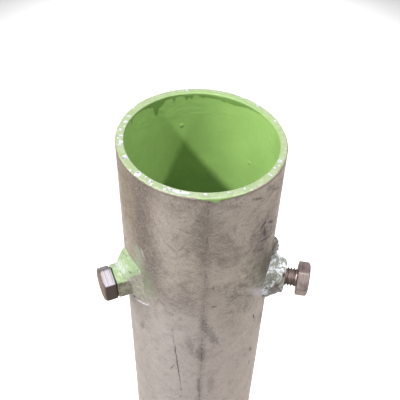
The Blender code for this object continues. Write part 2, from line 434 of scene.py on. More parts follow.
class LeftWeld:
    """A smooth weld: a high web above the nut and a thin skirt on the front side, which is
    at -90 degrees. Its tint is 1 where it is painted, 0 where it is smeared and dull, and
    -1 on the bare bead along its lower toe. The tables go from an angle in degrees to mm."""

    clamp = CLAMPS["left"]
    FOOT = (
        (-180, 12.0), (-150, 12.5), (-125, 15.0), (-108, 19.0), (-85, 20.5), (-60, 20.5),
        (-45, 22.5), (-35, 24.0), (-22, 21.6), (-6, 19.4), (14, 17.6), (40, 15.5), (90, 13.0),
        (180, 12.0),
    )
    CROWN = (
        (-180, 2.6), (-120, 2.4), (-85, 2.6), (-62, 3.4), (-46, 5.0), (-25, 6.0), (20, 6.3),
        (60, 5.6), (110, 3.6), (180, 2.6),
    )
    # How hollow the surface is: 1 is straight from crown to toe.
    HOLLOW = (
        (-180, 1.4), (-110, 3.2), (-70, 3.4), (-48, 2.4), (-30, 1.4), (0, 0.85), (30, 0.75),
        (70, 0.85), (180, 1.4),
    )
    # Where the paint ends: radius in mm, angle in degrees.
    PAINT_EDGE = ((8, -50), (12, -41), (17, -39), (24, -37))

    def inner(self, angle):
        return self.clamp.hex_radius(angle) - 0.4 * MM

    root = inner

    def foot(self, angle):
        ragged = 0.6 * MM * rough_noise(self.clamp.polar(10 * MM, angle, 0), 4 * MM, 2, seed=11)
        return table(self.FOOT, signed_degrees(angle)) * MM + ragged

    def bead(self, angle, share):
        """The bright lumpy bead along the lower toe."""
        degrees = signed_degrees(angle)
        along = smooth(-165, -150, degrees) * (1 - smooth(-114, -98, degrees))
        return along * math.exp(-((share - 0.86) / 0.10) ** 2)

    def height(self, angle, radius, share):
        degrees = signed_degrees(angle)
        crown = table(self.CROWN, degrees)
        fall = (1 - share) ** table(self.HOLLOW, degrees)
        point = self.clamp.polar(radius, angle, 0)
        lumps = 0.16 * rough_noise(point, 3.5 * MM, 3, seed=12) * smooth(0, 0.25, share)
        knots = 0.8 + 0.7 * rough_noise(point, 2.2 * MM, 2, seed=14)
        return (crown * fall - 0.22 * share + lumps + 0.85 * knots * self.bead(angle, share)) * MM

    def tint(self, angle, radius, share):
        degrees = signed_degrees(angle)
        edge = table(self.PAINT_EDGE, radius / MM)
        painted = smooth(edge - 4, edge + 3, degrees) * (1 - smooth(120, 150, degrees))
        return painted - 1.3 * self.bead(angle, share)


class RightWeld:
    """Lumpy weld that climbs over the nut's outer face. The front side is at 90 degrees.
    Its tint is 1 where it is pale and bright, and falls to -1 on the shoulder under the
    screw, which is painted brown as its shadow. The tables go from an angle in degrees to mm."""

    clamp = CLAMPS["right"]
    FOOT = (
        (0, 16.3), (37, 15.4), (60, 13.8), (90, 13.2), (110, 13.2), (135, 12.4), (160, 11.2),
        (250, 11.2), (300, 13.2), (360, 16.3),
    )
    SHOULDER = ((0, 9.4), (60, 9.0), (130, 8.8), (180, 9.2), (270, 9.0), (360, 9.4))
    TOP = ((0, 9.0), (50, 8.9), (95, 7.9), (150, 8.0), (200, 8.3), (300, 8.6), (360, 9.0))
    # How hollow the slope below the shoulder is: 1 is straight.
    HOLLOW = (
        (0, 1.25), (45, 1.9), (85, 2.1), (125, 0.75), (160, 0.5), (230, 0.6), (300, 1.3),
        (360, 1.25),
    )
    ROUND_OFF = 1.1

    def inner(self, angle):
        return 5.9 * MM + 0.5 * MM * rough_noise(self.clamp.polar(6 * MM, angle, 0), 3 * MM, 2, seed=21)

    def root(self, angle):
        return 8.6 * MM

    def foot(self, angle):
        ragged = 1.5 * MM * rough_noise(self.clamp.polar(10 * MM, angle, 0), 4 * MM, 3, seed=22)
        return table(self.FOOT, math.degrees(angle) % 360) * MM + ragged

    def height(self, angle, radius, share):
        degrees = math.degrees(angle) % 360
        shoulder = table(self.SHOULDER, degrees) * MM
        top = table(self.TOP, degrees)
        if radius < shoulder:
            rise = top - self.ROUND_OFF * smooth(shoulder * 0.72, shoulder, radius)
        else:
            fall = (radius - shoulder) / (self.foot(angle) - shoulder)
            slope = (1 - clamp01(fall)) ** table(self.HOLLOW, degrees)
            rise = (top - self.ROUND_OFF) * slope - 0.3 * fall
        point = self.clamp.on_post(radius, angle, rise * MM)
        lumps = 0.8 * rough_noise(point, 4.5 * MM, 4, seed=23)
        rise = (rise + lumps * (1 - 0.6 * share)) * MM
        wall = math.sqrt(POST_RADIUS ** 2 - (radius * math.sin(angle)) ** 2)
        return self.pressed(wall + rise, radius) - wall

    def pressed(self, out, radius):
        """Weld under the screw's head, flattened where the head bears on it when it is home."""
        limit, margin = self.clamp.home_seat - 0.12 * MM, 0.35 * MM
        over = out - (limit - margin)
        if over <= 0:
            return out
        return mix(limit - margin * math.exp(-over / margin), out, smooth(9.7 * MM, 10.7 * MM, radius))

    def tint(self, angle, radius, share):
        # Painted shadow: the shoulder on the weld's lower side, near the screw, turns brown.
        under = smooth(-0.1, 0.4, math.cos(angle - math.radians(150)))
        brown = under * (1 - smooth(9.5 * MM, 11.5 * MM, radius))
        return 1 - 2 * brown - 0.8 * smooth(0.55, 1.0, share) * (1 - brown)


def make_tack(clamp, material):
    """The stray weld lump on the wall above the nut."""
    low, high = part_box("right_tack_weld")
    middle_up, middle_across = (low.z + high.z) / 2 - clamp.origin.z, 0.5 * MM
    half_height, half_width, thickness = 5.6 * MM, 4.4 * MM, 2.9 * MM
    columns, rows = 48, 16
    rings = []
    for row in range(rows + 1):
        share = 1 - row / (rows + 1)
        ring = []
        for column in range(columns):
            angle = TURN * column / columns
            across = middle_across + half_width * share * math.sin(angle)
            up = middle_up + half_height * share * math.cos(angle)
            rough = rough_noise(clamp.at(up, across, 0), half_width * 1.2, 3, seed=61)
            swell = thickness * math.sqrt(max(0.0, 1 - share ** 2)) * (1 + 0.45 * rough)
            wall = math.sqrt(POST_RADIUS ** 2 - across ** 2)
            ring.append(clamp.at(up, across, wall + WELD_ROOT * 0.4 + swell))
        rings.append(ring)
    mesh = skin("tack", rings, fields={"tint": [[-0.15] * columns for _ in rings]})
    tack = finish_mesh(mesh, material, "bollard", WELD_SHARP)
    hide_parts("right_tack_weld")


def make_base_weld(material):
    """A ripple bead in the corner between the post and the plate."""
    low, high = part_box("base_weld")
    leg, foot = high.z - low.z, low.z - 0.3 * MM
    columns, ripples, rows = 720, 116, 12
    azimuths = [TURN * column / columns for column in range(columns)]
    rings = []
    for row in range(rows + 1):
        angle = math.pi / 2 * row / rows
        ring = []
        for azimuth in azimuths:
            wander = rough_noise(around(azimuth, POST_RADIUS), 9 * MM, 2, seed=31)
            ripple = abs(math.sin(azimuth * ripples / 2 + 0.6 * math.sin(angle * 2)))
            size = leg * (1 + 0.07 * wander)
            bulge = (0.10 + 0.05 * ripple) * math.sin(2 * angle)
            out = size * ((1 - math.sin(angle)) + bulge)
            rise = size * ((1 - math.cos(angle)) + bulge)
            ring.append(around(azimuth, POST_RADIUS + out, foot + rise))
        rings.append(ring)
    for height in (high.z, foot):
        rings.append([around(azimuth, POST_RADIUS - 0.5 * MM, height) for azimuth in azimuths])
    mesh = skin("foot_weld", rings, loop=True)
    weld = finish_mesh(mesh, material, "bollard", WELD_SHARP)
    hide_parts("base_weld")


# ---------------------------------------------------------------- post, paint and plate

def post_azimuths():
    """Even columns round the post, with finer ones across its long seam."""
    even = [TURN * column / 288 for column in range(288)]
    seam = [SEAM_AZIMUTH % TURN + math.radians(step * 0.12) for step in range(-9, 10)]
    return sorted(set(round(azimuth, 6) for azimuth in even + seam))


def wall_lift(azimuth, height):
    """Small hollows in the outer wall, and the shallow groove along its seam."""
    point = around(azimuth, POST_RADIUS, height)
    dents = 0.05 * MM * rough_noise(point, 22 * MM, 3, seed=41)
    off_seam = (azimuth - SEAM_AZIMUTH + math.pi) % TURN - math.pi
    groove = math.exp(-(off_seam * POST_RADIUS / (0.22 * MM)) ** 2)
    broken = smooth(-0.25, 0.25, rough_noise(Vector((0, 0, height)), 3 * MM, 2, seed=42))
    return dents - 0.12 * MM * groove * broken


def make_post(material):
    """The tube: over its rim from inside, down the outside, and back up the bore."""
    azimuths = post_azimuths()
    stations = [-3, -2.2] + [-1.6 + 0.2 * step for step in range(35)] + [6, 6.6]
    rings = [[rim_path(azimuth, station * MM, 0) for azimuth in azimuths] for station in stations]
    bottom, bore_edge, wall_edge = POST_LOW.z, rings[0], rings[-1]
    outer_rows, inner_rows = 100, 40
    for row in range(1, outer_rows + 1):
        ring = []
        for azimuth, edge in zip(azimuths, wall_edge):
            height = mix(edge.z, bottom, row / outer_rows)
            lift = wall_lift(azimuth, height) * smooth(0, 4 * MM, edge.z - height)
            ring.append(around(azimuth, POST_RADIUS + lift, height))
        rings.append(ring)
    for row in range(inner_rows):
        rings.append([
            around(azimuth, BORE_RADIUS, mix(bottom, edge.z, row / inner_rows))
            for azimuth, edge in zip(azimuths, bore_edge)
        ])
    post = finish_mesh(skin("post", rings, loop=True), material, "bollard", 50)
    cut(post, [clamp.hole_cutter(CLEARANCE_HOLE_RADIUS) for clamp in CLAMPS.values()])
    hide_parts("post_tube")


# The second coat's lower edge inside the rim: azimuth in degrees, depth below the rim in mm.
SECOND_COAT_EDGE = (
    (30, -1.0), (39, 0.9), (54, 2.6), (63, 3.7), (74, 3.0), (85, 2.4), (93, 2.0), (96, 0.5),
    (99, 2.2), (107, 0.8), (121, 1.6), (126, 4.6), (135, 2.8), (145, 0.9), (155, 1.1), (164, -1.0),
)
# Runs of paint below that edge: azimuth, length and half width in mm.
PAINT_RUNS = ((160, 3.2, 0.9), (130.3, 4.6, 1.3), (114, 2.4, 0.8), (103.5, 2.2, 0.9), (99.5, 1.2, 0.8))
# Chips in the rim's paint: azimuth and half width in degrees, middle radius and half depth
# in mm.
CHIPS = (
    (102.5, 0.9, 37.0, 1.5), (74.9, 0.8, 38.0, 0.5), (60, 1.8, 37.6, 0.8), (57, 0.7, 37.9, 0.6),
    (46.3, 1.1, 37.2, 1.0), (25, 0.9, 36.7, 0.5), (149, 0.6, 37.5, 0.7), (159, 1.1, 36.0, 1.1),
    (166.5, 1.2, 35.8, 1.0), (171, 1.0, 35.3, 0.8), (175.5, 1.3, 36.4, 0.8), (189, 2.4, 35.5, 0.9),
    (185, 0.8, 36.7, 0.5), (205.5, 2.6, 34.9, 1.6), (192, 1.1, 36.3, 0.9), (182.5, 1.2, 35.4, 1.2),
    (225, 2.4, 36.3, 1.5), (230.5, 0.6, 35.3, 1.4), (247, 1.2, 36.9, 0.6), (235, 1.1, 35.2, 1.7),
    (237.5, 1.0, 37.0, 0.7), (256.5, 6.8, 36.0, 1.0), (273.5, 1.6, 35.7, 0.7),
    (288.6, 0.9, 35.2, 0.8), (331, 0.9, 35.5, 0.8), (339, 1.4, 35.4, 1.1), (334.5, 0.7, 36.6, 0.9),
    (323, 0.7, 36.2, 1.0), (300, 0.8, 35.6, 0.8), (219, 0.7, 37.4, 0.7), (245, 0.8, 34.8, 0.5),
    (353, 0.5, 36.8, 0.4),
)
# Where the rim's paint ends, in mm past the outer edge: azimuth, mm.
SPILL = (
    (0, -0.35), (20, -0.25), (50, -0.1), (140, -0.1), (180, -0.1), (200, 0.0), (225, -0.1),
    (240, 0.1), (255, 0.0), (266, -0.1), (270, 0.4), (276, 1.3), (279.5, 2.6), (283, 1.4),
    (287, 1.1), (293, 0.6), (299, 0.4), (303, -0.2), (320, -0.3), (338, -0.6), (348, -0.5),
    (360, -0.35),
)
# Where the pale paint of the rim begins, in mm past the inner edge: azimuth, mm.
PALE_START = (
    (0, 0.7), (30, 0.7), (60, 1.2), (95, 1.3), (112, 0.8), (130, 0.2), (180, 0.0), (310, 0.1),
    (360, 0.7),
)
# Lumps under the paint of the bore: azimuth in degrees, depth and radius in mm.
PAINT_LUMPS = ((107.4, 18.2, 1.7), (44.5, 33.9, 1.4))


def off_azimuth(degrees, target):
    return (degrees - target + 180) % 360 - 180


def second_coat_depth(degrees):
    """Depth of the second coat's edge in mm, negative where there is none."""
    if degrees < SECOND_COAT_EDGE[0][0] or degrees > SECOND_COAT_EDGE[-1][0]:
        return -1.0
    depth = table(SECOND_COAT_EDGE, degrees)
    for azimuth, length, half_width in PAINT_RUNS:
        across = math.radians(off_azimuth(degrees, azimuth)) * BORE_RADIUS / MM / half_width
        depth += length * math.exp(-across ** 4)
    ripple = rough_noise(around(math.radians(degrees), BORE_RADIUS), 2.2 * MM, 3, seed=51)
    return depth + 0.5 * ripple


def chip_strength(degrees, radius, point):
    """Over 0.5 where the rim's paint is gone."""
    nearest = 9.0
    for azimuth, half_width, middle, half_depth in CHIPS:
        across = off_azimuth(degrees, azimuth) / half_width
        if abs(across) < 3:
            nearest = min(nearest, math.hypot(across, (radius - middle) / half_depth))
    ragged = 0.5 * rough_noise(point, 1.6 * MM, 3, seed=52)
    specks = 0.42 * smooth(0.45, 0.75, rough_noise(point, 1.3 * MM, 2, seed=56))
    return clamp01(1 - 0.5 * (nearest + ragged)) + specks


# The film's rows, as ways along the wall's section in mm: far apart down the bore, and close
# together towards the rim.
DEEP_STATIONS = [-PAINT_DEPTH / MM * row / 44 for row in range(44, 3, -1)]
FILM_STATIONS = (
    DEEP_STATIONS + [-14 + 0.5 * step for step in range(26)] + [-1.0 + 0.2 * step for step in range(19)]
)
FILM_COLUMNS = 600
SPILL_ROWS = 16


def film_along(row, azimuth):
    """How far along the wall's section a point of the film lies, in metres."""
    if row >= len(FILM_STATIONS):
        ragged = 0.4 * rough_noise(around(azimuth, POST_RADIUS), 2.5 * MM, 3, seed=54)
        end = WALL + (table(SPILL, math.degrees(azimuth)) + ragged) * MM
        start = FILM_STATIONS[-1] * MM
        share = (row - len(FILM_STATIONS) + 1) / SPILL_ROWS
        return mix(start, max(end, start + 0.05 * MM), share)
    along = FILM_STATIONS[row] * MM
    if row < len(DEEP_STATIONS):
        wobble = 14 * MM * rough_noise(around(azimuth, BORE_RADIUS), 9 * MM, 3, seed=53)
        along += wobble * (1 - row / len(DEEP_STATIONS)) ** 2
    return along


def film_values(azimuth, along):
    """The film's thickness at a point, and its three fields: chip is over 0.5 where the paint
    is gone, coat is above 0 in the second coat, and rim is 1 in the rim's pale paint."""
    degrees = math.degrees(azimuth)
    bare = rim_path(azimuth, along, 0)
    coat = second_coat_depth(degrees) + along / MM
    chip = chip_strength(degrees, bare.xy.length / MM, bare) * smooth(-0.5 * MM, 0.1 * MM, along)
    pale = table(PALE_START, degrees) * MM
    brush = rough_noise(Vector((bare.x, bare.y, bare.z * 2.5)), 6 * MM, 3, seed=55)
    lift = FILM * (1 + 0.35 * brush)
    lift += 0.10 * MM * smooth(-0.2, 0.4, coat) * (along < 0)
    lift *= 1 - 0.9 * smooth(0.42, 0.58, chip)
    inside = smooth(pale - 0.5 * MM, pale + 0.35 * MM, along)
    rim = inside * (1 - smooth(-0.35 * MM, 0.35 * MM, along - WALL))
    return lift, chip, coat if along < pale else -1.0, rim


def make_paint(material):
    """The paint as a thin film: down the bore, over the rim and a little down the outside."""
    azimuths = [TURN * column / FILM_COLUMNS for column in range(FILM_COLUMNS)]
    last = len(FILM_STATIONS) + SPILL_ROWS - 1
    rings, fields = [], {"chip": [], "coat": [], "rim": []}
    for row in range(last + 1):
        alongs = [film_along(row, azimuth) for azimuth in azimuths]
        lifts, *values = zip(*map(film_values, azimuths, alongs))
        if row in (0, last):
            lifts = [0.0] * FILM_COLUMNS
        rings.append([rim_path(*place) for place in zip(azimuths, alongs, lifts)])
        for field, ring in zip(fields.values(), values):
            field.append(ring)
    for row in range(last - 1, 0, -1):
        station = FILM_STATIONS[min(row, len(FILM_STATIONS) - 1)]
        rings.append([rim_path(azimuth, station * MM, -0.02 * MM) for azimuth in azimuths])
        for field in fields.values():
            field.append([0.0] * FILM_COLUMNS)
    mesh = skin("socket_paint", rings, loop=True, fields=fields)
    paint = finish_mesh(mesh, material, "bollard", 60)
    cut(paint, [clamp.hole_cutter(PAINTED_HOLE_RADIUS) for clamp in CLAMPS.values()])


def make_plate(material):
    """The base plate with rounded corners, a drain hole and four anchor holes."""
    low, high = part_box("base_plate")
    side = high.x - low.x
    shape = bmesh.new()
    bmesh.ops.create_cube(shape, size=1)
    bmesh.ops.scale(shape, verts=shape.verts, vec=(side, side, high.z - low.z))
    bmesh.ops.translate(shape, verts=shape.verts, vec=(low + high) / 2)
    upright = [edge for edge in shape.edges if edge.verts[0].co.xy == edge.verts[1].co.xy]
    bmesh.ops.bevel(shape, geom=upright, offset=12 * MM, segments=10, profile=0.5, affect="EDGES")
    mesh = bpy.data.meshes.new("plate")
    shape.to_mesh(mesh)
    shape.free()
    plate = finish_mesh(mesh, material, "bollard", 40)
    anchor, past = 75 * MM, 5 * MM
    holes = [(0, 0, 10 * MM)] + [(x, y, 7 * MM) for x in (-anchor, anchor) for y in (-anchor, anchor)]
    cut(plate, [
        cylinder_between(Vector((x, y, low.z - past)), Vector((x, y, high.z + past)), radius, 64)
        for x, y, radius in holes
    ])
    bevel = plate.modifiers.new("Bevel", "BEVEL")
    bevel.width = 0.6 * MM
    bevel.segments = 3
    bevel.limit_method = "ANGLE"
    apply_modifiers(plate)
    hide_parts("base_plate")


# ---------------------------------------------------------------- materials

class Paintbox:
    """A material and short names for its nodes. A value is a socket or a number, and a colour
    is a socket or (red, green, blue) as it looks on screen, 0 to 255."""

    def __init__(self, name, metallic=0.0, roughness=0.5):
        self.material = bpy.data.materials.new(name)
        self.material.use_nodes = True
        self.tree = self.material.node_tree
        self.shader = self.tree.nodes["Principled BSDF"]
        self.set(Metallic=metallic, Roughness=roughness)
        self.position = self.node("TexCoord", {})["Object"]

    def plug(self, value, socket):
        if isinstance(value, bpy.types.NodeSocket):
            self.tree.links.new(value, socket)
        else:
            socket.default_value = value

    def set(self, **inputs):
        for name, value in inputs.items():
            self.plug(value, self.shader.inputs[name.replace("_", " ")])

    def node(self, kind, inputs, **settings):
        """Makes a node with those settings and inputs, and gives its outputs."""
        node = self.tree.nodes.new(f"ShaderNode{kind}")
        for name, value in settings.items():
            setattr(node, name, value)
        for key, value in inputs.items():
            self.plug(value, node.inputs[key])
        return node.outputs

    def math(self, operation, a, b=0.0):
        return self.node("Math", {0: a, 1: b}, operation=operation)[0]

    def add(self, a, b):
        return self.math("ADD", a, b)

    def less(self, a, b):
        return self.math("SUBTRACT", a, b)

    def times(self, a, b):
        return self.math("MULTIPLY", a, b)

    def shake(self, value, grain, amount):
        """The value, moved both ways by a noise."""
        return self.add(value, self.times(self.less(grain, 0.5), amount))

    def step(self, value, low, high, out_low=0.0, out_high=1.0):
        """A smooth step between low and high, which may run downwards."""
        return self.node("MapRange", {
            "Value": value, "From Min": low, "From Max": high, "To Min": out_low, "To Max": out_high,
        }, interpolation_type="SMOOTHSTEP")["Result"]

    def stretch(self, scale, where=None, turn=(0, 0, 0), shift=(0, 0, 0)):
        return self.node("Mapping", {
            "Vector": where or self.position, "Location": shift, "Rotation": turn, "Scale": scale,
        })[0]

    def noise(self, size, detail=4.0, distortion=0.0, where=None):
        return self.node("TexNoise", {
            "Vector": where or self.position, "Scale": 1 / size, "Detail": detail,
            "Roughness": 0.55, "Distortion": distortion,
        })["Fac"]

    def three_noises(self, size):
        """Three independent noises of one size."""
        return self.axes(self.node("TexNoise", {"Vector": self.position, "Scale": 1 / size})["Color"])

    def cells(self, size):
        return self.node("TexVoronoi", {"Vector": self.position, "Scale": 1 / size})

    def field(self, name):
        return self.node("Attribute", {}, attribute_name=name)["Fac"]

    def axes(self, where=None):
        return self.node("SeparateXYZ", {"Vector": where or self.position})

    def join(self, x, y):
        return self.node("CombineXYZ", {0: x, 1: y})[0]

    def along(self, direction, origin):
        """How far a point lies from the origin along a direction, in metres."""
        dot = self.node("VectorMath", {0: self.position, 1: direction}, operation="DOT_PRODUCT")
        return self.less(dot["Value"], origin.dot(direction))

    def away(self, point):
        """How far a point on the surface lies from that point, in metres."""
        return self.node("VectorMath", {0: self.position, 1: point}, operation="DISTANCE")["Value"]

    def mix(self, a, b, factor):
        a, b = (srgb(*colour) if isinstance(colour, tuple) else colour for colour in (a, b))
        return self.node("Mix", {"Factor": factor, "A": a, "B": b}, data_type="RGBA")["Result"]

    def cover(self, under, colour, mask, strength):
        """Lays a colour over another one where the mask is 1, at that strength."""
        return self.mix(under, colour, self.times(mask, strength))

    def tinge(self, under, colour, source, low, high, strength=1.0):
        """Lays a colour over another one, more and more as the source goes from low to high."""
        return self.mix(under, colour, self.step(source, low, high, 0.0, strength))

    def finish(self, colour, roughness, height, bump, **inputs):
        """Sets up the surface, its bumps that high in metres, and gives the material."""
        normal = self.node("Bump", {"Distance": bump, "Height": height})["Normal"]
        self.set(Base_Color=colour, Roughness=roughness, Normal=normal, **inputs)
        return self.material


class WallPaintbox(Paintbox):
    """A material on the post's outer wall, with lengths in metres: true_across is the way
    round from the front towards the right, and depth the way down from the rim. across and
    down are the same with ragged edges, and flat is a bent sheet of both."""

    def __init__(self, name, metallic):
        super().__init__(name, metallic)
        x, y, z = self.axes()
        self.true_across = self.times(self.math("ARCTAN2", x, self.times(y, -1)), POST_RADIUS)
        self.depth = self.less(RIM_HEIGHT, z)
        wander_x, wander_y, _ = self.three_noises(4 * MM)
        wander = 1.6 * MM
        self.across = self.shake(self.true_across, wander_x, wander)
        self.down = self.shake(self.depth, wander_y, wander)
        self.ragged = self.shake(0.0, self.noise(1.6 * MM, 3.0), 2.2)
        swell_x, swell_y, _ = self.three_noises(32 * MM)
        swell = 30 * MM
        self.flat = self.join(
            self.add(self.true_across, self.times(swell_x, swell)), self.add(z, self.times(swell_y, swell))
        )

    def spot(self, azimuth, depth, half_length, half_width, lean, ragged=1.0, soft=0.4):
        """1 in the middle of a spot on the wall, falling to 0 outside it. azimuth is in
        degrees, depth below the rim's centre and the half sizes in mm, and lean in degrees
        from straight down towards the right."""
        across = self.less(self.across, POST_RADIUS * math.radians(azimuth + 90))
        down = self.less(self.down, depth * MM)
        c, s = math.cos(math.radians(lean)), math.sin(math.radians(lean))
        along = self.add(self.times(down, c), self.times(across, s))
        aside = self.less(self.times(across, c), self.times(down, s))
        shares = [
            self.math("POWER", self.math("DIVIDE", way, half * MM), 2)
            for way, half in ((along, half_length), (aside, half_width))
        ]
        distance = self.math("SQRT", self.add(*shares))
        distance = self.add(distance, self.times(self.ragged, ragged))
        return self.step(distance, 0.85 + soft, 0.85 - soft)

    def scratches(self, lean, seed):
        """Fine curved scratches, leaning from straight down towards the right."""
        bent = self.node(
            "VectorRotate", {"Vector": self.flat, "Angle": math.radians(lean)}, rotation_type="Z_AXIS"
        )[0]
        return self.noise(0.38 * MM, 3.0, 0.0, self.stretch((1, 0.07, 1), bent, shift=(0, 0, seed)))


# Tint of a metal's reflections at grazing angles, which dirt and oxide make dull.
WALL_GRAZING = (0.42, 0.39, 0.36, 1.0)
SCREW_GRAZING = (0.72, 0.67, 0.64, 1.0)

# Dark scuffs on the wall: azimuth, depth, half length, half width, lean, strength.
SCUFFS = (
    (-104.3, 124, 27.5, 0.34, 5, 0.85),
    (-101.6, 159, 1.2, 0.5, 0, 0.7),
    (-108.2, 129, 3.4, 0.4, -20, 0.5),
    (-78, 96, 11, 2.6, 20, 0.38),
    (-84.5, 86, 9, 2.0, 6, 0.35),
    (-86, 112, 8, 2.6, -2, 0.42),
    (-94, 105, 9, 2.4, 10, 0.3),
    (-76, 145, 10, 2.6, 0, 0.28),
    (-85.7, 148, 10, 1.0, 3, 0.45),
    (-42, 27.5, 3.4, 1.2, -45, 0.95),
    (-35, 39.5, 6.0, 0.7, 72, 0.8),
    (-39, 34, 4.2, 1.2, 20, 0.85),
    (-33, 30, 4.2, 0.8, 50, 0.8),
    (-30, 36, 2.6, 0.9, 5, 0.7),
    (-41, 44, 4.0, 0.7, 58, 0.6),
    (-51, 7.5, 3.0, 0.9, 70, 0.55),
    (-30, 11, 5.0, 0.5, 60, 0.55),
    (-24, 9, 5.0, 0.5, 60, 0.45),
    (-38.2, 98.5, 3.0, 0.6, 18, 0.85),
    (-36, 131, 2.6, 0.9, 14, 0.85),
    (-35, 145, 2.4, 0.8, 14, 0.6),
    (-77, 72.5, 0.9, 1.3, 0, 0.7),
    (-79, 58.5, 2.0, 0.5, 0, 0.6),
    (-138.5, 107, 6, 1.7, -22, 0.35),
    (-156, 50, 3.0, 0.7, -35, 0.45),
    (-84, 50, 1.2, 0.6, 0, 0.5),
)
# Soft clouds of colour: azimuth, depth, half length, half width, lean, strength, colour.
# The first, a dark upright band, is a painted reflection.
CLOUDS = (
    (-132, 20, 42, 8.0, 3, 0.85, (118, 108, 99)),
    (-36, 34, 13, 9, -25, 0.6, (114, 105, 107)),
    (-148, 16, 34, 7, 0, 0.6, (142, 130, 108)),
    (-124, 56, 17, 6, -12, 0.75, (124, 116, 111)),
    (-108, 64, 8, 9, 0, 0.35, (134, 125, 120)),
    (-110, 20, 42, 5, 4, 0.35, (192, 182, 170)),
    (-41, 50, 15, 7, -10, 0.5, (124, 120, 112)),
    (-28, 64, 16, 8, -20, 0.6, (104, 104, 90)),
    (-47, 22, 14, 7, 0, 0.3, (134, 122, 114)),
    (-62, 50, 14, 6, 12, 0.3, (184, 172, 158)),
    (-75, 25, 20, 4, 8, 0.3, (136, 126, 118)),
    (-88, 20, 26, 3.5, 0, 0.4, (132, 124, 112)),
    (-140, 95, 10, 9, 10, 0.35, (140, 130, 126)),
    (-60, 92, 12, 9, 40, 0.3, (150, 140, 126)),
)
# Smears beside the left weld: azimuth, depth, half length, half width, lean, strength, colour.
LEFT_SMEARS = (
    (-137, 66, 13, 10, 12, 0.85, (150, 158, 132)),
    (-137.5, 49, 7, 3.4, 26, 0.8, (168, 178, 156)),
    (-132, 46, 3.2, 1.0, 24, 0.6, (200, 200, 194)),
    (-136, 57.5, 3.5, 2.0, 60, 0.7, (168, 188, 146)),
    (-126, 72, 6, 1.2, 30, 0.4, (156, 166, 136)),
    (-137, 60.5, 1.6, 1.0, 40, 0.7, (104, 100, 90)),
    (-133, 62.5, 1.2, 0.8, 0, 0.7, (196, 196, 186)),
)
# Families of scratches: lean, seed, and the patches' noise where they begin and are full.
SCRATCHES = ((38, 1.7, 0.35, 0.6), (-42, 4.1, 0.65, 0.4), (-75, 7.3, 0.45, 0.55))


def steel_wall():
    """Worn zinc: warm grey clouds, one of them a dark upright band that is a painted reflection,
    curved scratches, dark scuffs and a broken seam line.
    """
    box = WallPaintbox("galvanised_wall", metallic=0.8)
    clouds = box.noise(36 * MM, 4.0, 0.5)
    mottle = box.noise(7 * MM, 5.0, 0.8)
    grain = box.noise(0.8 * MM, 4.0)
    worn = box.step(box.depth, 52 * MM, 98 * MM)
    calm = box.less(1.0, box.times(worn, 0.6))
    filed = box.step(box.along(RIM_NORMAL, RIM_POINT), -2.2 * MM, -0.7 * MM)
    colour = box.tinge((153, 142, 133), (189, 177, 166), clouds, 0.38, 0.62)
    lower = box.tinge((190, 182, 178), (197, 186, 179), box.across, -12 * MM, 16 * MM)
    colour = box.cover(colour, lower, worn, 0.85)
    colour = box.cover(colour, (134, 124, 118), box.step(mottle, 0.51, 0.68, 0.0, 0.6), calm)
    colour = box.tinge(colour, (200, 190, 178), mottle, 0.46, 0.30, 0.5)
    # The first cloud, a dark upright band at -132 degrees, is a painted reflection.
    for *place, strength, shade in CLOUDS:
        colour = box.cover(colour, shade, box.spot(*place, 0.45, 0.7), strength)

    patches = box.noise(16 * MM, 2.0)
    scratch_height = 0.0
    for lean, seed, low, high in SCRATCHES:
        lines = box.scratches(lean, seed)
        share = box.times(box.step(patches, low, high), calm)
        colour = box.cover(colour, (118, 107, 102), box.times(box.step(lines, 0.54, 0.68), share), 0.38)
        colour = box.cover(colour, (206, 196, 184), box.times(box.step(lines, 0.44, 0.32), share), 0.34)
        scratch_height = box.add(scratch_height, box.times(lines, share))
    colour = box.tinge(colour, (204, 194, 182), grain, 0.5, 0.72, 0.4)
    colour = box.tinge(colour, (116, 106, 101), grain, 0.48, 0.28, 0.4)
    few = box.times(box.step(box.noise(11 * MM, 2.0), 0.60, 0.68), calm)
    dark = box.times(box.step(box.cells(2.6 * MM)["Distance"], 0.15, 0.07), few)
    colour = box.cover(colour, (80, 70, 70), dark, 0.5)
    for *place, strength in SCUFFS:
        scuff = box.times(box.spot(*place), strength)
        colour = box.mix(colour, (92, 82, 84), scuff)
        dark = box.math("MAXIMUM", dark, scuff)

    from_seam = box.less(box.true_across, POST_RADIUS * (SEAM_AZIMUTH + math.pi / 2))
    seam = box.math("ABSOLUTE", from_seam)
    upright = box.stretch((0.1, 0.1, 1))
    dashes = box.step(box.noise(2.2 * MM, 3.0, 0.0, upright), 0.47, 0.62)
    broken = box.step(box.noise(22 * MM, 1.0, 0.0, upright), 0.38, 0.55, 0.35, 1.0)
    line = box.times(box.step(seam, 0.5 * MM, 0.1 * MM), dashes)
    line = box.times(line, box.times(broken, 0.55))
    colour = box.tinge(colour, (132, 121, 117), seam, 3.5 * MM, 0.5 * MM, 0.25)
    colour = box.mix(colour, (66, 56, 58), line)

    colour = box.cover(wall_smears(box, colour), (118, 107, 98), filed, 0.5)
    height = box.add(box.times(scratch_height, 0.5), box.times(grain, 0.3))
    height = box.less(height, box.add(dark, line))
    roughness = box.add(box.step(mottle, 0.3, 0.7, 0.40, 0.56), box.times(filed, 0.2))
    return box.finish(colour, roughness, height, 0.10 * MM, Specular_Tint=WALL_GRAZING)


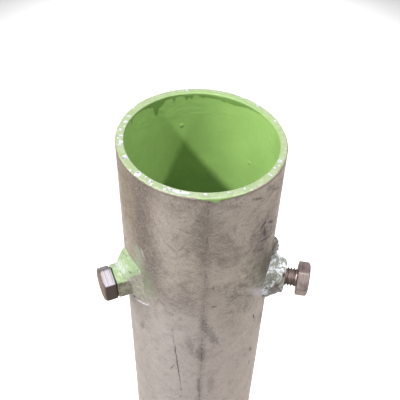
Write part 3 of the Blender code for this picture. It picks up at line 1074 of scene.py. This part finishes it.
def wall_smears(box, colour):
    """Thin paint and soot that were smeared over the wall beside the two welds."""
    leaning = box.stretch((0.5, 0.5, 1.6), turn=(0.5, 0, 0))
    wiped = box.step(box.noise(1.8 * MM, 4.0, 0.6, leaning), 0.36, 0.56, 0.55, 1.0)
    for *place, strength, shade in LEFT_SMEARS:
        colour = box.cover(colour, shade, box.times(box.spot(*place, 0.6), wiped), strength)
    soot = box.times(
        box.spot(-38, 64, 23, 17, -25, 0.7, 0.6), box.step(box.noise(2.5 * MM, 4.0, 1.0), 0.38, 0.60)
    )
    colour = box.cover(colour, (106, 107, 92), soot, 0.6)
    spatter = box.times(
        box.step(box.noise(1.6 * MM, 3.0, 0.6), 0.49, 0.56), box.spot(-35, 74, 12, 9, -25, 0.7, 0.6)
    )
    colour = box.cover(colour, (178, 186, 166), spatter, 0.75)
    return box.cover(colour, (196, 188, 194), box.spot(-35, 80, 13, 2.8, 39, 0.5), 0.75)


def green_paint():
    """Hand-brushed enamel: darker second coat under the rim, darker green over the rim's inner edge
    as painted shade, pale thin paint on the rim with paler flecks that are painted highlights,
    and chips down to bright metal."""
    box = Paintbox("green_enamel", roughness=0.5)
    broad = box.noise(22 * MM, 3.0)
    strokes = box.noise(4 * MM, 4.0, 0.8, box.stretch((1, 1, 2.2)))
    fine = box.noise(0.6 * MM, 3.0)
    colour = box.tinge((124, 156, 86), (131, 164, 92), broad, 0.35, 0.65)
    colour = box.tinge(colour, (117, 149, 80), strokes, 0.55, 0.75, 0.5)
    second = box.step(box.add(box.field("coat"), box.times(fine, 0.3)), 0.05, 0.45)
    colour = box.cover(colour, (92, 124, 60), second, 0.9)
    # Painted shade: darker green over the top of the bore and the rim's inner edge.
    below_rim = box.along(RIM_NORMAL, RIM_POINT)
    colour = box.tinge(colour, (108, 132, 77), below_rim, -1.8 * MM, -0.5 * MM, 0.8)
    pale = box.tinge((125, 136, 108), (115, 129, 94), strokes, 0.38, 0.62)
    # Paler flecks on the rim's pale paint: painted highlights.
    pale = box.tinge(pale, (138, 146, 127), box.noise(1.6 * MM, 3.0, 0.5), 0.54, 0.68, 0.6)
    colour = box.mix(colour, pale, box.field("rim"))
    bare = box.step(box.shake(box.field("chip"), fine, 0.22), 0.47, 0.53)
    metal = box.tinge((176, 177, 182), (104, 99, 105), box.noise(1.1 * MM, 3.0), 0.55, 0.68)
    colour = box.mix(colour, metal, bare)
    height = box.less(box.add(box.times(strokes, 0.6), box.times(fine, 0.12)), bare)
    for azimuth, down, radius in PAINT_LUMPS:
        middle = around(math.radians(azimuth), BORE_RADIUS, RIM_HEIGHT - down * MM)
        height = box.add(height, box.step(box.away(middle), radius * MM, 0.0, 0.0, 2.6))
    roughness = box.step(strokes, 0.3, 0.7, 0.42, 0.56)
    return box.finish(colour, roughness, height, 0.10 * MM, Metallic=box.times(bare, 0.4))


def pale_paint_with_highlights(box, brush):
    """Thin light green paint, with nearly white painted highlights on its high spots."""
    colour = box.tinge((118, 138, 97), (130, 146, 113), box.noise(6 * MM, 3.0), 0.38, 0.62)
    # Nearly white patches on the brush noise's high spots: painted highlights.
    return box.tinge(colour, (160, 168, 156), brush, 0.50, 0.68, 0.7)


def above_corner(box, clamp):
    """Height above the plane through the screw's axis and the left hexagons' front corner."""
    corner = math.radians(-50)
    side = clamp.up * -math.sin(corner) + clamp.across * math.cos(corner)
    return box.along(side, clamp.origin)


def painted_nut(clamp):
    """The left nut: pale paint above its front corner, and dark olive below it as painted shade."""
    box = Paintbox("painted_nut", roughness=0.45)
    brush = box.noise(2.4 * MM, 4.0, 1.0)
    painted = box.step(box.shake(above_corner(box, clamp), brush, 2.5 * MM), -0.9 * MM, 0.2 * MM)
    # Painted shade: the faces below the front corner are dark olive, and its paler green flecks are painted faint
    # highlights.
    dull = box.tinge((96, 93, 76), (138, 134, 118), brush, 0.36, 0.6)
    dull = box.tinge(dull, (136, 146, 112), box.noise(3.4 * MM, 3.0, 0.4), 0.56, 0.70, 0.8)
    colour = box.mix(dull, pale_paint_with_highlights(box, brush), painted)
    return box.finish(colour, box.step(brush, 0.3, 0.7, 0.35, 0.5), brush, 0.12 * MM)


def painted_weld(clamp):
    """The left weld: painted, smeared and bare where its tint is 1, 0 and -1."""
    box = Paintbox("painted_weld", roughness=0.45)
    brush = box.noise(2.4 * MM, 4.0, 1.0)
    tint = box.shake(box.field("tint"), brush, 0.5)
    smear = box.tinge((108, 105, 91), (134, 130, 116), brush, 0.36, 0.6)
    smear = box.tinge(smear, (146, 160, 120), box.noise(3.2 * MM, 3.0), 0.6, 0.72, 0.6)
    colour = box.mix(smear, pale_paint_with_highlights(box, brush), box.step(tint, 0.3, 0.7))
    # Painted highlights: nearly white patches round the top of the nut.
    near = box.away(clamp.at(6 * MM, -2 * MM, POST_RADIUS + 5 * MM))
    painted_highlight = box.times(box.step(near, 9 * MM, 4 * MM), box.step(brush, 0.38, 0.52))
    colour = box.cover(colour, (166, 171, 166), painted_highlight, 0.65)
    pits = box.step(box.cells(3.0 * MM)["Distance"], 0.20, 0.12)
    colour = box.cover(colour, (74, 70, 68), pits, 0.85)
    bare = box.step(tint, -0.35, -0.75)
    ridges = box.tinge((198, 194, 200), (142, 134, 134), box.noise(1.2 * MM, 3.0), 0.46, 0.58)
    colour = box.mix(colour, ridges, bare)
    roughness, height = box.step(brush, 0.3, 0.7, 0.32, 0.5), box.less(brush, pits)
    return box.finish(colour, roughness, height, 0.15 * MM, Metallic=box.times(bare, 0.5))


def weld_metal(clamp):
    """Bright, spattered weld: pale grey-green where its tint is high, with nearly white painted highlights;
    brown where its tint is low, which on the right weld is painted shadow; and a dark spot painted as
    shadow on the right weld, just above the screw's thread."""
    box = Paintbox("weld_metal", metallic=0.25)
    broad = box.noise(5 * MM, 4.0, 0.5)
    fine = box.noise(1.5 * MM, 4.0, 0.6)
    tint = box.shake(box.field("tint"), broad, 0.7)
    colour = box.tinge((132, 133, 125), (160, 162, 158), broad, 0.40, 0.60)
    colour = box.tinge(colour, (98, 104, 84), fine, 0.48, 0.36, 0.75)
    # Nearly white patches: painted highlights on the weld.
    pale = box.shake(box.add(broad, box.times(tint, 0.04)), fine, 1.0)
    colour = box.tinge(colour, (206, 207, 213), pale, 0.535, 0.65)
    # Brown where the tint is low: painted shadow on the right weld's shoulder under the screw, and in part the
    # other welds' own darker tone.
    brown = box.tinge((86, 76, 70), (122, 110, 104), broad, 0.4, 0.6)
    colour = box.mix(brown, colour, box.step(tint, -0.45, 0.25))
    # Painted shadow: a dark spot on the right weld just above the screw's thread. pits holds it together with the
    # weld's dark pits.
    painted_shadow_spot = box.away(clamp.polar(9.0 * MM, math.radians(42), 46.0 * MM))
    pits = box.math(
        "MAXIMUM",
        box.step(box.cells(2.6 * MM)["Distance"], 0.14, 0.08),
        box.step(box.shake(painted_shadow_spot, fine, 2 * MM), 1.6 * MM, 0.9 * MM),
    )
    colour = box.cover(colour, (62, 52, 50), pits, 0.8)
    return box.finish(colour, box.step(fine, 0.35, 0.65, 0.5, 0.28), box.less(fine, pits), 0.25 * MM)


def screw_steel(clamp, light, dark, tarnish):
    """Rolled screw steel with drawn lines along the faces, and grime in the thread; the left head's
    faces below its front corner are painted brown as painted shade.
    """
    box = Paintbox(f"{clamp.side}_screw_steel", metallic=0.9)
    reach = box.along(clamp.out, clamp.origin)
    drawn = box.noise(0.6 * MM, 3.0, 0.0, box.join(reach, box.times(box.noise(6 * MM), 1 * MM)))
    broad = box.noise(6 * MM, 3.0)
    grain = box.noise(0.5 * MM, 3.0)
    colour = box.tinge(dark, light, broad, 0.35, 0.65)
    colour = box.tinge(colour, tarnish, drawn, 0.46, 0.62, 0.75)
    worn = box.step(reach, clamp.seat - 0.1 * MM, clamp.seat - 0.4 * MM)
    colour = box.cover(colour, tarnish, worn, 0.5)
    if clamp.side == "left":
        top = clamp.seat + HEAD_HEIGHT
        # Painted shade: the left head's faces below its front corner, which face the dark ground, are painted
        # brown.
        below = box.step(above_corner(box, clamp), 0.4 * MM, -0.4 * MM)
        end = box.step(reach, top - 0.9 * MM, top - 0.5 * MM)
        colour = box.cover(colour, (104, 87, 78), below, 0.85)
        colour = box.cover(colour, (132, 114, 103), end, 0.85)
        worn = box.math("MAXIMUM", worn, end)
    roughness = box.add(box.step(broad, 0.3, 0.7, 0.30, 0.42), box.times(worn, 0.2))
    height = box.add(drawn, box.times(grain, 0.4))
    return box.finish(colour, roughness, height, 0.04 * MM, Specular_Tint=SCREW_GRAZING)


def zinc_plate():
    """Dull galvanising with its crystal pattern and a little dirt."""
    box = Paintbox("galvanised_plate", metallic=0.6)
    spangle = box.node("SeparateColor", {"Color": box.cells(9 * MM)["Color"]})[0]
    clouds = box.noise(40 * MM, 4.0)
    grain = box.noise(1.5 * MM, 4.0)
    colour = box.tinge((146, 140, 134), (178, 172, 166), spangle, 0.0, 1.0)
    colour = box.tinge(colour, (128, 120, 112), clouds, 0.5, 0.7, 0.6)
    colour = box.tinge(colour, (192, 186, 178), grain, 0.55, 0.75, 0.4)
    return box.finish(colour, box.step(clouds, 0.3, 0.7, 0.42, 0.6), grain, 0.08 * MM)


def pale_floor():
    box = Paintbox("pale_floor", roughness=0.9)
    box.set(Base_Color=box.mix((250, 250, 250), (246, 246, 247), box.noise(120 * MM, 3.0)))
    return box.material


# ---------------------------------------------------------------- stage

def make_floor():
    mesh = bpy.data.meshes.new("floor")
    half = 6.0
    corners = [(-half, -half, 0), (half, -half, 0), (half, half, 0), (-half, half, 0)]
    mesh.from_pydata(corners, [], [(0, 1, 2, 3)])
    mesh.materials.append(pale_floor())
    floor = bpy.data.objects.new("floor", mesh)
    bpy.context.scene.collection.objects.link(floor)


def make_lamp(name, kind, azimuth, elevation, distance, target, **settings):
    """A lamp that is aimed at the target from that azimuth and elevation, in degrees."""
    lamp = bpy.data.lights.new(name, kind)
    for setting, value in settings.items():
        setattr(lamp, setting, value)
    a, e = math.radians(azimuth), math.radians(elevation)
    away = Vector((math.cos(a) * math.cos(e), math.sin(a) * math.cos(e), math.sin(e)))
    obj = bpy.data.objects.new(name, lamp)
    obj.location = target + away * distance
    obj.rotation_euler = (-away).to_track_quat("-Z", "Y").to_euler()
    bpy.context.scene.collection.objects.link(obj)


def make_spot(name, azimuth, elevation, distance, target, radius, cone, power):
    make_lamp(
        name, "SPOT", azimuth, elevation, distance, target, energy=power,
        shadow_soft_size=radius, spot_size=math.radians(cone), spot_blend=0.4,
    )


def make_lights():
    """Two lamps throw the crossed shadows into the socket, and one reaches down its bore."""
    socket, behind = Vector((0, 0, RIM_HEIGHT)), Vector((0, 0.85, 0))
    make_spot("key", 222, 42, 3.0, socket, radius=0.11, cone=17, power=448)
    make_spot("fill", 358, 51, 3.0, socket, radius=0.11, cone=17, power=340)
    make_lamp("side", "AREA", 190, 34, 2.6, socket, size=1.4, spread=math.radians(50), energy=5.1)
    make_spot("top", 250, 78, 2.4, socket, radius=0.12, cone=9, power=180)
    make_spot("floor_light", 90, 65, 3.0, behind, radius=0.2, cone=29, power=360)


def make_world(strength):
    world = bpy.data.worlds.new("studio")
    world.use_nodes = True
    background = world.node_tree.nodes["Background"]
    background.inputs["Color"].default_value = (1.0, 1.0, 1.0, 1.0)
    background.inputs["Strength"].default_value = strength
    bpy.context.scene.world = world


def make_camera():
    data = bpy.data.cameras.new("camera")
    data.lens = CAMERA_LENS
    data.sensor_width = 36.0
    data.clip_start = 0.01
    camera = bpy.data.objects.new("camera", data)
    look = Matrix.Rotation(math.pi / 2 - CAMERA_DOWN, 4, "X") @ Matrix.Rotation(CAMERA_ROLL, 4, "Z")
    camera.matrix_world = Matrix.Translation((0, -CAMERA_BACK, RIM_HEIGHT + CAMERA_ABOVE_RIM)) @ look
    bpy.context.scene.collection.objects.link(camera)
    bpy.context.scene.camera = camera


def main():
    make_camera()
    make_floor()
    make_world(0.42)
    make_lights()
    bpy.context.scene.view_settings.view_transform = "Standard"

    left, right = CLAMPS["left"], CLAMPS["right"]
    bright = weld_metal(right)
    make_post(steel_wall())
    make_paint(green_paint())
    make_screw(left, screw_steel(left, (142, 141, 149), (132, 129, 134), (108, 99, 98)))
    make_screw(right, screw_steel(right, (168, 154, 150), (146, 131, 127), (122, 107, 102)))
    make_nut(left, painted_nut(left))
    make_nut(right, bright)
    make_nut_weld(left, LeftWeld(), painted_weld(left))
    make_nut_weld(right, RightWeld(), bright)
    make_tack(right, bright)
    make_base_weld(bright)
    make_plate(zinc_plate())


main()
